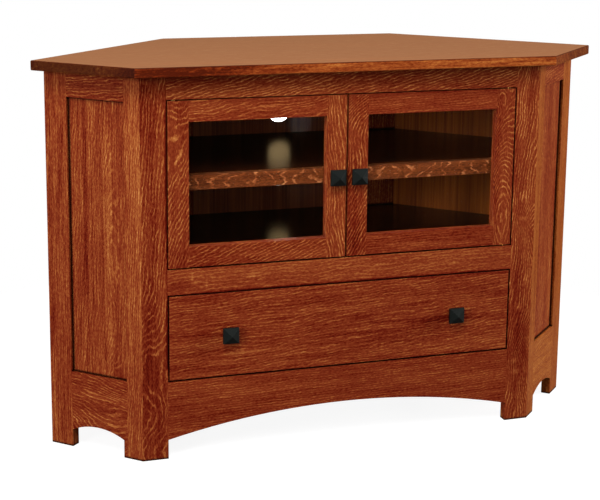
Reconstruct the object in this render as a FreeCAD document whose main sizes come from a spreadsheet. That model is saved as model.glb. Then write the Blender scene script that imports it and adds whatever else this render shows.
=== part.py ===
import FreeCAD, Part
import math
import os
from types import SimpleNamespace

import Sketcher

# A Mission style corner cabinet in millimetres: six-sided in plan, with a glazed pair of doors
# over one wide drawer. Z is up, X runs along the front and the front faces -Y. The origin is on
# the floor, under the middle of the box that holds the whole cabinet.
#
# Face coordinates: most pieces are drawn with Y = 0 on the outer face of the front frame.
# Side coordinates: the left slanted side is drawn flat, as it lies on a bench, with X = 0 at its
# rear corner, X growing towards the front corner, Y = 0 on its outer face and Y growing inwards.
# The right-hand twins are mirror images.

# Driving sizes

SIZES = {
    # Whole cabinet
    "total_height": 762.0,
    "face_width": 812.0,
    "side_length": 213.0,
    "body_depth": 448.0,
    # Top slab
    "top_thickness": 19.0,
    "top_overhang": 36.0,
    "rear_overhang": 4.0,
    "top_rounding": 2.5,
    # Stock
    "frame_stock": 19.0,
    "panel_stock": 6.0,
    "board_stock": 19.0,
    "cleat_stock": 15.0,
    # Front frame, from the top down. What is left of the total height is the base
    "face_stile_width": 50.0,
    "face_top_rail_width": 45.5,
    "door_opening_height": 323.0,
    "face_middle_rail_width": 49.5,
    "drawer_opening_height": 171.0,
    "apron_spring_height": 38.0,
    "apron_rise": 41.5,
    # Slanted side frames
    "side_front_stile_width": 35.0,
    "side_rear_stile_width": 50.0,
    "side_top_rail_width": 50.0,
    "side_foot_width": 8.0,
    "side_spring_height": 35.0,
    "side_rise": 14.0,
    "panel_recess": 7.0,
    "groove_depth": 6.0,
    "panel_clearance": 0.5,
    "rear_lip": 9.0,
    # Joints of the frames
    "tenon_length": 15.0,
    "tenon_thickness": 6.4,
    "tenon_shoulder": 8.0,
    "mortise_clearance": 0.2,
    # Back
    "rear_post_width": 59.0,
    "back_rabbet": 10.0,
    "cord_hole_radius": 27.0,
    "upper_hole_rise": 50.5,
    "lower_hole_rise": 81.0,
    # Shelf
    "shelf_rise": 174.0,
    "shelf_setback": 27.0,
    "nosing_height": 28.0,
    # Doors
    "door_gap": 2.5,
    "meeting_gap": 4.0,
    "door_stock": 19.0,
    "door_frame_width": 40.0,
    "glass_lip": 7.0,
    "glass_rabbet": 9.0,
    "glass_thickness": 3.0,
    "glass_clearance": 1.0,
    "arris": 0.8,
    # Knife hinges
    "pivot_inset": 12.0,
    "pivot_setback": 7.0,
    "pivot_radius": 2.5,
    "pivot_clearance": 0.05,
    "pivot_end_play": 0.3,
    "hinge_leaf_length": 45.0,
    "hinge_leaf_width": 10.0,
    "hinge_leaf_thickness": 2.4,
    "washer_radius": 4.0,
    # Magnetic catch
    "catch_width": 70.0,
    "catch_depth": 12.0,
    "catch_drop": 17.0,
    "catch_height": 42.0,
    "catch_air": 0.3,
    "catch_plate_width": 20.0,
    "catch_plate_height": 12.0,
    "catch_plate_thickness": 1.2,
    # Knobs
    "knob_width": 31.0,
    "knob_edge": 5.0,
    "knob_peak": 9.0,
    "knob_tip_width": 2.0,
    "knob_neck_width": 15.0,
    "knob_foot_width": 20.0,
    "knob_neck_length": 9.0,
    "drawer_knob_spacing": 470.0,
    # Drawer
    "drawer_rounding": 1.5,
    "drawer_gap": 2.5,
    "drawer_box_height": 130.0,
    "drawer_box_lift": 14.0,
    "drawer_box_stock": 12.7,
    "drawer_box_shortfall": 10.0,
    # Drawer slides
    "slide_cleat_stock": 19.0,
    "slide_cleat_height": 100.0,
    "slide_corner_air": 5.0,
    "slide_space": 13.0,
    "slide_height": 45.0,
    "slide_metal": 1.2,
    "slide_air": 0.5,
}

DIAGONAL_SHARE = math.sqrt(0.5)
MITRE_SHARE = math.sqrt(2.0) - 1.0
TAIL_COUNT = 4
TAIL_WIDTH_SHARE = 0.62
TAIL_SLOPE_SHARE = 1.0 / 6.0
SAME_PLACE = 0.0001

doc = FreeCAD.newDocument("CornerCabinet")
sheet = doc.addObject("Spreadsheet::Sheet", "Sizes")
for row, (name, number) in enumerate(SIZES.items(), start=1):
    sheet.set(f"A{row}", name)
    sheet.set(f"B{row}", str(number))
    sheet.setAlias(f"B{row}", name)
doc.recompute()


class Size:
    """A length that keeps both its number and the sheet formula that it comes from."""

    def __init__(self, number, formula):
        self.number = number
        self.formula = formula

    def __add__(self, other):
        other = as_size(other)
        return Size(self.number + other.number, f"({self.formula} + {other.formula})")

    def __sub__(self, other):
        other = as_size(other)
        return Size(self.number - other.number, f"({self.formula} - {other.formula})")

    def __mul__(self, other):
        other = as_size(other)
        return Size(self.number * other.number, f"({self.formula} * {other.formula})")

    def __truediv__(self, other):
        other = as_size(other)
        return Size(self.number / other.number, f"({self.formula} / {other.formula})")

    def __neg__(self):
        return as_size(0) - self

    __radd__ = __add__
    __rmul__ = __mul__


def as_size(value):
    if isinstance(value, Size):
        return value
    return Size(float(value), repr(float(value)))


size = SimpleNamespace(**{name: Size(float(sheet.get(name)), f"Sizes.{name}") for name in SIZES})

# Sizes that follow from the driving ones

side_run = size.side_length * DIAGONAL_SHARE
half_face = size.face_width / 2
half_body = half_face + side_run
face_y = (size.top_overhang - size.rear_overhang - size.body_depth) / 2

under_top = size.total_height - size.top_thickness
door_opening_top = under_top - size.face_top_rail_width
compartment_floor_top = door_opening_top - size.door_opening_height
drawer_opening_top = compartment_floor_top - size.face_middle_rail_width
cabinet_floor_top = drawer_opening_top - size.drawer_opening_height
half_opening = half_face - size.face_stile_width
shelf_top = compartment_floor_top + size.shelf_rise
side_panel_top = under_top - size.side_top_rail_width

# The slanted lines of the plan, for the right half: X = start + Y or X = start - Y
side_inner_start = half_face - size.frame_stock / DIAGONAL_SHARE
rear_outer_start = half_body + side_run
rear_inner_start = rear_outer_start - size.panel_stock / DIAGONAL_SHARE
post_front_y = size.body_depth - size.frame_stock
post_inner_x = rear_outer_start - size.body_depth - size.rear_post_width
back_inner_y = size.body_depth - size.panel_stock

pieces = {}

# Drawing helpers

VIEWS = {
    "front": ("XZ_Plane", True),
    "side": ("YZ_Plane", False),
    "plan": ("XY_Plane", False),
}


def bind(item, path, value):
    """Ties one property of an object to the sheet."""
    item.setExpression(path, as_size(value).formula)


def new_body(label):
    body = doc.addObject("PartDesign::Body", label)
    body.Label = label
    pieces[label] = body
    return body


def vector(corner):
    return FreeCAD.Vector(as_size(corner[0]).number, as_size(corner[1]).number, 0)


def new_sketch(body, view, start):
    """A sketch on one of the body's own planes, moved along that view's axis to start."""
    role, backwards = VIEWS[view]
    plane = next(item for item in body.Origin.OriginFeatures if item.Role == role)
    sketch = body.newObject("Sketcher::SketchObject", f"{body.Name}_sketch")
    sketch.AttachmentSupport = [(plane, "")]
    sketch.MapMode = "FlatFace"
    bind(sketch, "AttachmentOffset.Base.z", -as_size(start) if backwards else start)
    return sketch


def hold(sketch, kind, edge, end, value):
    """Dimensions one end of an edge from the sketch's origin."""
    number = sketch.addConstraint(Sketcher.Constraint(kind, -1, 1, edge, end, as_size(value).number))
    bind(sketch, f"Constraints[{number}]", value)


def draw_outline(sketch, corners, arches=None):
    """A closed outline. arches gives, for a corner's index, the rise of an arch to the next one,
    positive when it bulges to the right of the way there."""
    arches = arches or {}
    ends = []
    for index, corner in enumerate(corners):
        start = vector(corner)
        finish = vector(corners[(index + 1) % len(corners)])
        if index in arches:
            chord = finish - start
            right = FreeCAD.Vector(chord.y, -chord.x, 0).normalize()
            rise = arches[index].number
            top = start + chord * 0.5 + right * rise
            first, last = (start, finish) if rise > 0 else (finish, start)
            edge = sketch.addGeometry(Part.Arc(first, top, last), False)
            ends.append((edge, 1, 2) if rise > 0 else (edge, 2, 1))
        else:
            edge = sketch.addGeometry(Part.LineSegment(start, finish), False)
            ends.append((edge, 1, 2))
    for index, (edge, _, finish_point) in enumerate(ends):
        following = ends[(index + 1) % len(ends)]
        sketch.addConstraint(
            Sketcher.Constraint("Coincident", edge, finish_point, following[0], following[1])
        )
    for (edge, start_point, _), corner in zip(ends, corners):
        hold(sketch, "DistanceX", edge, start_point, corner[0])
        hold(sketch, "DistanceY", edge, start_point, corner[1])
    for index, rise in arches.items():
        centre_an_arch(sketch, ends[index][0], rise, corners[index], corners[(index + 1) % len(corners)])


def centre_an_arch(sketch, edge, rise, start, finish):
    """Places the centre of an arch over a level or an upright chord, so that it rises that far."""
    start_x, start_y = map(as_size, start)
    span_x = as_size(finish[0]) - start_x
    span_y = as_size(finish[1]) - start_y
    span = span_x if abs(span_x.number) > abs(span_y.number) else span_y
    offset = (rise * rise - span * span / 4) / (rise * 2)
    ahead = math.copysign(1, span.number)
    if span is span_x:
        hold(sketch, "DistanceY", edge, 3, start_y - offset * ahead)
    else:
        hold(sketch, "DistanceX", edge, 3, start_x + offset * ahead)


def draw_circle(sketch, centre, radius):
    circle = sketch.addGeometry(Part.Circle(vector(centre), FreeCAD.Vector(0, 0, 1), radius.number), False)
    number = sketch.addConstraint(Sketcher.Constraint("Radius", circle, radius.number))
    bind(sketch, f"Constraints[{number}]", radius)
    hold(sketch, "DistanceX", circle, 3, centre[0])
    hold(sketch, "DistanceY", circle, 3, centre[1])


def finish_extrusion(body, kind, sketch, view, length):
    feature = body.newObject(f"PartDesign::{kind}", f"{body.Name}_{kind.lower()}")
    feature.Profile = sketch
    backwards = VIEWS[view][1]
    feature.Reversed = backwards if kind == "Pad" else not backwards
    bind(feature, "Length", length)
    body.Tip = feature
    return feature


def pad(body, view, corners, start, length, arches=None):
    """Adds a board-like solid from start, length deep along the view's axis."""
    sketch = new_sketch(body, view, start)
    draw_outline(sketch, corners, arches)
    return finish_extrusion(body, "Pad", sketch, view, length)


def pocket(body, view, corners, start, length, arches=None):
    """Cuts the outline from start, length deep along the view's axis."""
    sketch = new_sketch(body, view, start)
    draw_outline(sketch, corners, arches)
    return finish_extrusion(body, "Pocket", sketch, view, length)


def round_feature(body, kind, view, centre, radius, start, length):
    """A round Pad or a drilled Pocket."""
    sketch = new_sketch(body, view, start)
    draw_circle(sketch, centre, radius)
    return finish_extrusion(body, kind, sketch, view, length)


def box_feature(body, kind, low, high):
    """A tenon (AdditiveBox) or a mortise, groove or recess (SubtractiveBox) between two corners."""
    feature = body.newObject(f"PartDesign::{kind}", f"{body.Name}_{kind.lower()}")
    for axis, path, start, finish in zip("xyz", ("Length", "Width", "Height"), low, high):
        bind(feature, path, as_size(finish) - start)
        bind(feature, f"Placement.Base.{axis}", start)
    body.Tip = feature
    return feature


def block(name, low, high):
    """A plain rectangular strip that goes into a group."""
    strip = doc.addObject("Part::Box", name)
    for axis, path, start, finish in zip("xyz", ("Length", "Width", "Height"), low, high):
        bind(strip, path, as_size(finish) - start)
        bind(strip, f"Placement.Base.{axis}", start)
    return strip


def group(label, members):
    """Several separate solids under one name."""
    compound = doc.addObject("Part::Compound", label)
    compound.Label = label
    compound.Links = members
    pieces[label] = compound
    return compound


def rectangle(low_x, high_x, low_y, high_y):
    return [(low_x, low_y), (high_x, low_y), (high_x, high_y), (low_x, high_y)]


def symmetric(right_half):
    """Completes an outline whose right half is given, by mirroring it across X = 0."""
    return right_half + [(-as_size(x), y) for x, y in reversed(right_half)]


def edges_at(shape, x=None, y=None, z=None):
    """The names of the edges that lie at the given places."""
    names = []
    for number, edge in enumerate(shape.Edges, start=1):
        box = edge.BoundBox
        spans = ((box.XMin, box.XMax, x), (box.YMin, box.YMax, y), (box.ZMin, box.ZMax, z))
        wanted = [(low, high, place.number) for low, high, place in spans if place is not None]
        if all(max(abs(low - place), abs(high - place)) < SAME_PLACE for low, high, place in wanted):
            names.append(f"Edge{number}")
    return names


def soften(body, kind, amount, places):
    """Rounds (Fillet) or bevels (Chamfer) the edges at the given places."""
    doc.recompute()
    base = body.Tip
    names = sorted({name for place in places for name in edges_at(base.Shape, **place)})
    feature = body.newObject(f"PartDesign::{kind}", f"{body.Name}_{kind.lower()}")
    feature.Base = (base, names)
    bind(feature, "Radius" if kind == "Fillet" else "Size", amount)
    body.Tip = feature
    return feature


def on_face(item):
    """Stands a piece that is drawn in face coordinates in its place."""
    bind(item, "Placement.Base.y", face_y)


def on_side(item):
    """Stands a piece that is drawn in side coordinates in its place on the left."""
    item.Placement = FreeCAD.Placement(
        FreeCAD.Vector(0, 0, 0),
        FreeCAD.Rotation(FreeCAD.Vector(1, 0, 0), FreeCAD.Vector(1, -1, 0)),
    )
    bind(item, "Placement.Base.x", -half_body)
    bind(item, "Placement.Base.y", face_y + side_run)


def twin(label, left_label):
    """The right-hand mirror image of a left-hand piece."""
    mirrored = doc.addObject("Part::Mirroring", label)
    mirrored.Label = label
    mirrored.Source = pieces[left_label]
    mirrored.Normal = FreeCAD.Vector(1, 0, 0)
    pieces[label] = mirrored


def tenon(body, face_x, length, back_y, low_z, high_z):
    """A tenon on the end of a rail at face_x. length is negative towards -X."""
    start_x, end_x = (face_x, face_x + length) if length.number > 0 else (face_x + length, face_x)
    box_feature(
        body,
        "AdditiveBox",
        (start_x, back_y - size.tenon_thickness, low_z + size.tenon_shoulder),
        (end_x, back_y, high_z - size.tenon_shoulder),
    )


def mortise(body, face_x, length, back_y, low_z, high_z):
    """The mortise that takes the tenon of the same sizes, a little larger all round."""
    ease = size.mortise_clearance
    deep = length + ease if length.number > 0 else length - ease
    start_x, end_x = (face_x, face_x + deep) if length.number > 0 else (face_x + deep, face_x)
    box_feature(
        body,
        "SubtractiveBox",
        (start_x, back_y - size.tenon_thickness - ease, low_z + size.tenon_shoulder - ease),
        (end_x, back_y + ease, high_z - size.tenon_shoulder + ease),
    )


# Top slab: one thick board whose outline overhangs the body at the front and the slanted sides

def make_top_slab():
    front_x = half_face + size.top_overhang * MITRE_SHARE
    rear_start = rear_outer_start + size.rear_overhang / DIAGONAL_SHARE
    corner_y = side_run + (size.rear_overhang - size.top_overhang) * DIAGONAL_SHARE
    back_y = size.body_depth + size.rear_overhang
    outline = symmetric([
        (front_x, -size.top_overhang),
        (rear_start - corner_y, corner_y),
        (rear_start - back_y, back_y),
    ])
    body = new_body("top_slab")
    slab = pad(body, "plan", outline, under_top, size.top_thickness)
    doc.recompute()
    rounding = body.newObject("PartDesign::Fillet", "top_slab_fillet")
    rounding.Base = (slab, [f"Edge{number}" for number in range(1, len(slab.Shape.Edges) + 1)])
    bind(rounding, "Radius", size.top_rounding)
    body.Tip = rounding
    on_face(body)


# Front frame: two mitred corner stiles and three rails with hidden tenons

rail_tenon_back_y = (size.frame_stock + size.tenon_thickness) / 2
FACE_RAIL_SPANS = {
    "face_top_rail": (door_opening_top, under_top),
    "face_middle_rail": (drawer_opening_top, compartment_floor_top),
    "face_bottom_rail": (size.apron_spring_height, cabinet_floor_top),
}


def make_face_stile():
    body = new_body("face_stile_left")
    outline = [
        (-half_face, 0),
        (-half_opening, 0),
        (-half_opening, size.frame_stock),
        (-half_face + size.frame_stock * MITRE_SHARE, size.frame_stock),
    ]
    pad(body, "plan", outline, 0, under_top)
    for low_z, high_z in FACE_RAIL_SPANS.values():
        mortise(body, -half_opening, -size.tenon_length, rail_tenon_back_y, low_z, high_z)
    on_face(body)
    twin("face_stile_right", "face_stile_left")


def make_face_rail(label):
    low_z, high_z = FACE_RAIL_SPANS[label]
    body = new_body(label)
    arches = {0: -size.apron_rise} if label == "face_bottom_rail" else None
    outline = rectangle(-half_opening, half_opening, low_z, high_z)
    pad(body, "front", outline, 0, size.frame_stock, arches)
    tenon(body, half_opening, size.tenon_length, rail_tenon_back_y, low_z, high_z)
    tenon(body, -half_opening, -size.tenon_length, rail_tenon_back_y, low_z, high_z)
    if label in FRAME_LEAF_LEVELS:
        for side_sign in (-1, 1):
            let_in_leaf(body, side_sign, FRAME_LEAF_LEVELS[label])
    on_face(body)


# Knife hinges: two flat leaves turn on a pin, let into the edges of the door and of the frame

pivot_x = half_opening - size.door_gap - size.pivot_inset
pivot_y = size.pivot_setback
FRAME_LEAF_LEVELS = {
    "face_top_rail": door_opening_top,
    "face_middle_rail": compartment_floor_top - size.hinge_leaf_thickness,
}


def leaf_outline(side_sign):
    """A leaf seen from above, with one round end about the pivot. side_sign is -1 on the left."""
    reach = size.hinge_leaf_width / 2
    root_x = pivot_x * side_sign
    end_x = (pivot_x - size.hinge_leaf_length + reach) * side_sign
    corners = [
        (root_x, pivot_y - reach),
        (end_x, pivot_y - reach),
        (end_x, pivot_y + reach),
        (root_x, pivot_y + reach),
    ]
    return corners, {3: reach * side_sign * -1}


def let_in_leaf(body, side_sign, level):
    """Lets a hinge leaf into the wood, flush with its edge."""
    corners, arches = leaf_outline(side_sign)
    pocket(body, "plan", corners, level, size.hinge_leaf_thickness, arches)


def make_hinge_leaves():
    corners, arches = leaf_outline(-1)
    members = []
    for rail_label, level in FRAME_LEAF_LEVELS.items():
        body = doc.addObject("PartDesign::Body", f"{rail_label}_hinge_leaf")
        pad(body, "plan", corners, level, size.hinge_leaf_thickness, arches)
        hole_radius = size.pivot_radius + size.pivot_clearance
        round_feature(body, "Pocket", "plan", (-pivot_x, pivot_y), hole_radius, level,
                      size.hinge_leaf_thickness)
        on_face(body)
        members += [body, mirror_of(body)]
    group("hinge_frame_leaves", members)

    # The door's leaves carry the pin and a washer that keeps the gap above and below the door
    door_leaves = []
    washer_height = size.door_gap - size.pivot_end_play
    pin_reach = size.door_gap + size.hinge_leaf_thickness - size.pivot_end_play
    door_levels = {
        "door_leaf_top": (door_top - size.hinge_leaf_thickness, door_top, door_top),
        "door_leaf_bottom": (door_bottom, door_bottom - washer_height, door_bottom - pin_reach),
    }
    for name, (leaf_level, washer_level, pin_level) in door_levels.items():
        body = doc.addObject("PartDesign::Body", name)
        pad(body, "plan", corners, leaf_level, size.hinge_leaf_thickness, arches)
        centre = (-pivot_x, pivot_y)
        round_feature(body, "Pad", "plan", centre, size.washer_radius, washer_level, washer_height)
        round_feature(body, "Pad", "plan", centre, size.pivot_radius, pin_level, pin_reach)
        on_face(body)
        door_leaves.append(body)
    group("door_left_hinge_leaves", door_leaves)
    twin("door_right_hinge_leaves", "door_left_hinge_leaves")


def mirror_of(body):
    mirrored = doc.addObject("Part::Mirroring", f"{body.Name}_mirrored")
    mirrored.Source = body
    mirrored.Normal = FreeCAD.Vector(1, 0, 0)
    return mirrored


# Slanted side frames: two stiles and two rails round a flat panel that sits in grooves

side_front_stile_x = size.side_length - size.side_front_stile_width
SIDE_RAIL_SPANS = {
    "side_top_rail_left": (side_panel_top, under_top),
    "side_bottom_rail_left": (size.side_spring_height, cabinet_floor_top),
}
groove_back_y = size.panel_recess + size.panel_stock


def side_groove(body, low_x, high_x, low_z, high_z):
    box_feature(body, "SubtractiveBox", (low_x, size.panel_recess, low_z), (high_x, groove_back_y, high_z))


def make_side_stiles():
    groove_low = cabinet_floor_top - size.groove_depth
    groove_high = side_panel_top + size.groove_depth

    front = new_body("side_front_stile_left")
    outline = [
        (side_front_stile_x, 0),
        (size.side_length, 0),
        (size.side_length - size.frame_stock * MITRE_SHARE, size.frame_stock),
        (side_front_stile_x, size.frame_stock),
    ]
    pad(front, "plan", outline, 0, under_top)
    side_groove(front, side_front_stile_x, side_front_stile_x + size.groove_depth, groove_low, groove_high)

    # The rear stile is rabbeted behind, so that its lip hides the edge of the slanted back panel
    rear = new_body("side_rear_stile_left")
    outline = [
        (0, 0),
        (size.side_rear_stile_width, 0),
        (size.side_rear_stile_width, size.frame_stock),
        (size.panel_stock, size.frame_stock),
        (size.panel_stock, size.rear_lip),
        (0, size.rear_lip),
    ]
    pad(rear, "plan", outline, 0, under_top)
    side_groove(rear, size.side_rear_stile_width - size.groove_depth, size.side_rear_stile_width,
                groove_low, groove_high)

    for low_z, high_z in SIDE_RAIL_SPANS.values():
        mortise(front, side_front_stile_x, size.tenon_length, rail_tenon_back_y, low_z, high_z)
        mortise(rear, size.side_rear_stile_width, -size.tenon_length, rail_tenon_back_y, low_z, high_z)
    for label in ("side_front_stile", "side_rear_stile"):
        on_side(pieces[f"{label}_left"])
        twin(f"{label}_right", f"{label}_left")


def make_side_rails():
    low_x = size.side_rear_stile_width
    high_x = side_front_stile_x

    top = new_body("side_top_rail_left")
    pad(top, "front", rectangle(low_x, high_x, side_panel_top, under_top), 0, size.frame_stock)
    side_groove(top, low_x, high_x, side_panel_top, side_panel_top + size.groove_depth)

    # The bottom rail has a low arch, and beside the front stile a short foot reaches the floor
    bottom = new_body("side_bottom_rail_left")
    foot_x = high_x - size.side_foot_width
    outline = [
        (low_x, size.side_spring_height),
        (foot_x, size.side_spring_height),
        (foot_x, 0),
        (high_x, 0),
        (high_x, cabinet_floor_top),
        (low_x, cabinet_floor_top),
    ]
    pad(bottom, "front", outline, 0, size.frame_stock, {0: -size.side_rise})
    side_groove(bottom, low_x, high_x, cabinet_floor_top - size.groove_depth, cabinet_floor_top)

    for label, (low_z, high_z) in SIDE_RAIL_SPANS.items():
        body = pieces[label]
        tenon(body, high_x, size.tenon_length, rail_tenon_back_y, low_z, high_z)
        tenon(body, low_x, -size.tenon_length, rail_tenon_back_y, low_z, high_z)
        on_side(body)
        twin(label.replace("left", "right"), label)


def make_side_panel():
    body = new_body("side_panel_left")
    hidden_edge = size.groove_depth - size.panel_clearance
    outline = rectangle(
        size.side_rear_stile_width - hidden_edge,
        side_front_stile_x + hidden_edge,
        cabinet_floor_top - hidden_edge,
        side_panel_top + hidden_edge,
    )
    pad(body, "front", outline, size.panel_recess, size.panel_stock)
    on_side(body)
    twin("side_panel_right", "side_panel_left")


# Back: two posts, two slanted panels against the walls of the room and one straight panel

back_bottom = cabinet_floor_top - size.board_stock


def make_back():
    post = new_body("rear_post_left")
    rabbet_x = post_inner_x + size.back_rabbet
    outline = [
        (size.body_depth - rear_inner_start, size.body_depth),
        (post_front_y - rear_inner_start, post_front_y),
        (-post_inner_x, post_front_y),
        (-post_inner_x, back_inner_y),
        (-rabbet_x, back_inner_y),
        (-rabbet_x, size.body_depth),
    ]
    pad(post, "plan", outline, 0, under_top)
    on_face(post)
    twin("rear_post_right", "rear_post_left")

    # In side coordinates the slanted back panel runs straight inwards from the rear stile's lip
    slanted = new_body("rear_corner_panel_left")
    reach = (size.body_depth - side_run) / DIAGONAL_SHARE
    outline = [
        (0, size.rear_lip),
        (size.panel_stock, size.rear_lip),
        (size.panel_stock, reach + size.panel_stock),
        (0, reach),
    ]
    pad(slanted, "plan", outline, back_bottom, under_top - back_bottom)
    on_side(slanted)
    twin("rear_corner_panel_right", "rear_corner_panel_left")

    panel = new_body("back_panel")
    half_width = rabbet_x - size.panel_clearance
    pad(panel, "front", rectangle(-half_width, half_width, back_bottom, under_top), back_inner_y,
        size.panel_stock)
    for hole_z in (shelf_top + size.upper_hole_rise, compartment_floor_top + size.lower_hole_rise):
        round_feature(panel, "Pocket", "front", (0, hole_z), size.cord_hole_radius, back_inner_y,
                      size.panel_stock)
    on_face(panel)


# Boards: each is cut to the inside of the frames and notched round the rear posts

def make_board(label, top_z, front_y):
    rear_corner_y = (rear_inner_start - side_inner_start) / 2
    outline = symmetric([
        (side_inner_start + front_y, front_y),
        (side_inner_start + rear_corner_y, rear_corner_y),
        (rear_inner_start - post_front_y, post_front_y),
        (post_inner_x, post_front_y),
        (post_inner_x, back_inner_y),
    ])
    body = new_body(label)
    pad(body, "plan", outline, top_z - size.board_stock, size.board_stock)
    on_face(body)


def make_boards():
    nosing_back_y = size.shelf_setback + size.frame_stock
    make_board("cabinet_floor", cabinet_floor_top, size.frame_stock)
    make_board("compartment_floor", compartment_floor_top, size.frame_stock)
    make_board("shelf_board", shelf_top, nosing_back_y)

    nosing = new_body("shelf_nosing")
    outline = symmetric([
        (side_inner_start + size.shelf_setback, size.shelf_setback),
        (side_inner_start + nosing_back_y, nosing_back_y),
    ])
    pad(nosing, "plan", outline, shelf_top - size.nosing_height, size.nosing_height)
    on_face(nosing)

    # Cleats: a strip under each board and under the top, along the sides and the back
    cleat_back_y = size.frame_stock + size.cleat_stock
    long_cleat_x = size.side_length - size.frame_stock
    shelf_cleat_x = size.frame_stock + (side_run - nosing_back_y) / DIAGONAL_SHARE
    levels = {
        "cabinet_floor": (back_bottom, long_cleat_x),
        "compartment_floor": (compartment_floor_top - size.board_stock, long_cleat_x),
        "shelf": (shelf_top - size.board_stock, shelf_cleat_x),
        "top": (under_top, long_cleat_x),
    }
    side_strips = []
    back_strips = []
    for name, (level, front_x) in levels.items():
        low_z = level - size.cleat_stock
        side_strips.append(block(
            f"side_cleat_{name}",
            (size.panel_stock, size.frame_stock, low_z),
            (front_x, cleat_back_y, level),
        ))
        back_strips.append(block(
            f"back_cleat_{name}",
            (-post_inner_x, back_inner_y - size.cleat_stock, low_z),
            (post_inner_x, back_inner_y, level),
        ))
    left_strips = doc.addObject("Part::Compound", "left_side_cleats")
    left_strips.Links = side_strips
    on_side(left_strips)
    group("side_cleats", [left_strips, mirror_of(left_strips)])
    on_face(group("back_cleats", back_strips))


# Doors: mitreless frames with long-and-short shouldered rails, flush in the front frame

door_outer_x = half_opening - size.door_gap
door_inner_x = size.meeting_gap / 2
door_bottom = compartment_floor_top + size.door_gap
door_top = door_opening_top - size.door_gap
glass_outer_x = door_outer_x - size.door_frame_width
glass_inner_x = door_inner_x + size.door_frame_width
glass_low_z = door_bottom + size.door_frame_width
glass_high_z = door_top - size.door_frame_width
door_tenon_back_y = (size.glass_lip + size.door_stock + size.tenon_thickness) / 2
DOOR_RAIL_SPANS = {
    "door_left_top_rail": (glass_high_z + size.glass_rabbet, door_top),
    "door_left_bottom_rail": (door_bottom, glass_low_z - size.glass_rabbet),
}
DOOR_LEAF_LEVELS = (door_top - size.hinge_leaf_thickness, door_bottom)


def make_door_stiles():
    edges = {
        "door_left_hinge_stile": (-door_outer_x, -glass_outer_x, -size.glass_rabbet),
        "door_left_lock_stile": (-door_inner_x, -glass_inner_x, size.glass_rabbet),
    }
    for label, (outer_x, inner_x, rabbet) in edges.items():
        body = new_body(label)
        outline = [
            (outer_x, 0),
            (inner_x, 0),
            (inner_x, size.glass_lip),
            (inner_x + rabbet, size.glass_lip),
            (inner_x + rabbet, size.door_stock),
            (outer_x, size.door_stock),
        ]
        pad(body, "plan", outline, door_bottom, door_top - door_bottom)
        reach = size.tenon_length if rabbet.number > 0 else -size.tenon_length
        for low_z, high_z in DOOR_RAIL_SPANS.values():
            mortise(body, inner_x + rabbet, reach, door_tenon_back_y, low_z, high_z)
        if label == "door_left_hinge_stile":
            for level in DOOR_LEAF_LEVELS:
                let_in_leaf(body, -1, level)
        soften(body, "Chamfer", size.arris, [
            {"x": outer_x, "y": as_size(0)},
            {"x": outer_x, "y": size.door_stock},
        ])
        on_face(body)
        twin(label.replace("left", "right"), label)


def make_door_rails():
    outer_edges = {
        "door_left_top_rail": (door_top, glass_high_z),
        "door_left_bottom_rail": (door_bottom, glass_low_z),
    }
    for (label, (outer_z, inner_z)), leaf_level in zip(outer_edges.items(), DOOR_LEAF_LEVELS):
        low_z, high_z = DOOR_RAIL_SPANS[label]
        rabbet_z = low_z if label == "door_left_top_rail" else high_z
        body = new_body(label)
        profile = [
            (0, outer_z),
            (0, inner_z),
            (size.glass_lip, inner_z),
            (size.glass_lip, rabbet_z),
            (size.door_stock, rabbet_z),
            (size.door_stock, outer_z),
        ]
        pad(body, "side", profile, -glass_outer_x, glass_outer_x - glass_inner_x)
        soften(body, "Chamfer", size.arris, [{"y": as_size(0), "z": outer_z}])
        # The back half of the rail runs on into the stiles' rabbets, and ends in a tenon
        hinge_x = -glass_outer_x - size.glass_rabbet
        lock_x = -glass_inner_x + size.glass_rabbet
        box_feature(body, "AdditiveBox", (hinge_x, size.glass_lip, low_z),
                    (-glass_outer_x, size.door_stock, high_z))
        box_feature(body, "AdditiveBox", (-glass_inner_x, size.glass_lip, low_z),
                    (lock_x, size.door_stock, high_z))
        tenon(body, hinge_x, -size.tenon_length, door_tenon_back_y, low_z, high_z)
        tenon(body, lock_x, size.tenon_length, door_tenon_back_y, low_z, high_z)
        let_in_leaf(body, -1, leaf_level)
        on_face(body)
        twin(label.replace("left", "right"), label)


def make_door_glass():
    glass = new_body("door_left_glass")
    hidden_edge = size.glass_rabbet - size.glass_clearance
    outline = rectangle(
        -glass_outer_x - hidden_edge,
        -glass_inner_x + hidden_edge,
        glass_low_z - hidden_edge,
        glass_high_z + hidden_edge,
    )
    pad(glass, "front", outline, size.glass_lip, size.glass_thickness)
    on_face(glass)
    twin("door_right_glass", "door_left_glass")

    # Four square strips fill the rabbet behind the glass
    front_y = size.glass_lip + size.glass_thickness
    low_x = -glass_outer_x - size.glass_rabbet
    high_x = -glass_inner_x + size.glass_rabbet
    low_z = glass_low_z - size.glass_rabbet
    high_z = glass_high_z + size.glass_rabbet
    spans = {
        "glass_stop_hinge": (low_x, -glass_outer_x, low_z, high_z),
        "glass_stop_lock": (-glass_inner_x, high_x, low_z, high_z),
        "glass_stop_top": (-glass_outer_x, -glass_inner_x, glass_high_z, high_z),
        "glass_stop_bottom": (-glass_outer_x, -glass_inner_x, low_z, glass_low_z),
    }
    strips = []
    for name, (start_x, end_x, start_z, end_z) in spans.items():
        strips.append(block(name, (start_x, front_y, start_z), (end_x, size.door_stock, end_z)))
    on_face(group("door_left_glass_stops", strips))
    twin("door_right_glass_stops", "door_left_glass_stops")


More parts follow.
